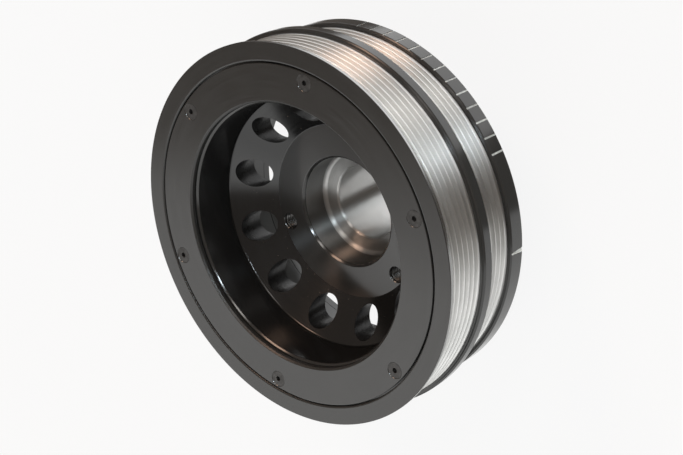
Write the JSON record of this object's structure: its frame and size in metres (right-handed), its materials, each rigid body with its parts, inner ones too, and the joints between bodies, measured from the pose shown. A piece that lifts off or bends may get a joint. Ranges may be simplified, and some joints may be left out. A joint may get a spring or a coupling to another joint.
{
  "type": "harmonic balancer",
  "caption": "Crankshaft damper: an inertia ring with belt grooves and timing lines, bonded by rubber to a dished, drilled hub with a press bore and a seal sleeve.",
  "frame": {"origin": "on the crankshaft's axis, at the rear end of the hub's sleeve, which the part stands on", "axes": "+Z along the crankshaft's axis towards the front of the engine, +X through the timing notch"},
  "size_m": [0.192, 0.192, 0.0926],
  "materials": {
    "black_hub": "gloss black on turned steel, bare in the bores",
    "turned_ring": "turned steel, bare in the belt grooves, satin black on the front face, land and timing band",
    "black_plate": "satin black",
    "damper_rubber": "dull black rubber",
    "black_screw": "black oxide"
  },
  "bodies": {
    "root": {"hub": "black_hub", "inertia_ring": "turned_ring", "damping_ring": "damper_rubber", "cover_plate": "black_plate", "cover_screw_1": "black_screw", "cover_screw_2": "black_screw", "cover_screw_3": "black_screw", "cover_screw_4": "black_screw", "cover_screw_5": "black_screw", "cover_screw_6": "black_screw"}
  },
  "joints": []
}
